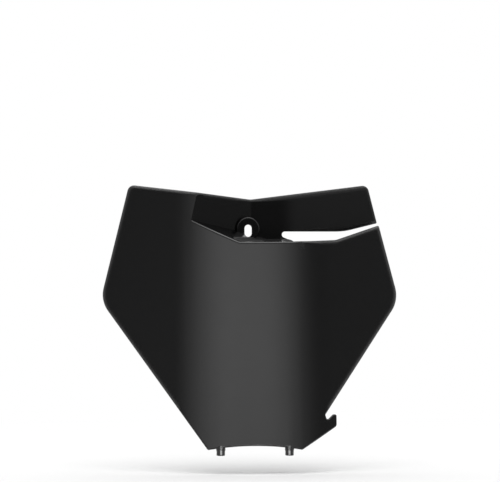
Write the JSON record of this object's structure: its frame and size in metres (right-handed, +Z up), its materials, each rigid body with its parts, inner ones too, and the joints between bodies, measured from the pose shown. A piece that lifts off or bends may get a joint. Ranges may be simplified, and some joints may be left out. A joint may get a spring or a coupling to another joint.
{
  "type": "racing number board",
  "caption": "Curved front number board for an off-road motorbike, with a recessed screw boss, a hose gap, a hose hook and locating lugs on its lower edge.",
  "frame": {"origin": "midway between the two lugs, on the plane of their axes, level with the board's lower corners", "axes": "+X to the viewer's right, +Y to the back of the board, +Z up, along the lugs"},
  "size_m": [0.2681, 0.0951, 0.2408],
  "materials": {
    "black_polypropylene": "satin moulded black"
  },
  "bodies": {
    "root": {"number_board": "black_polypropylene"}
  },
  "joints": []
}
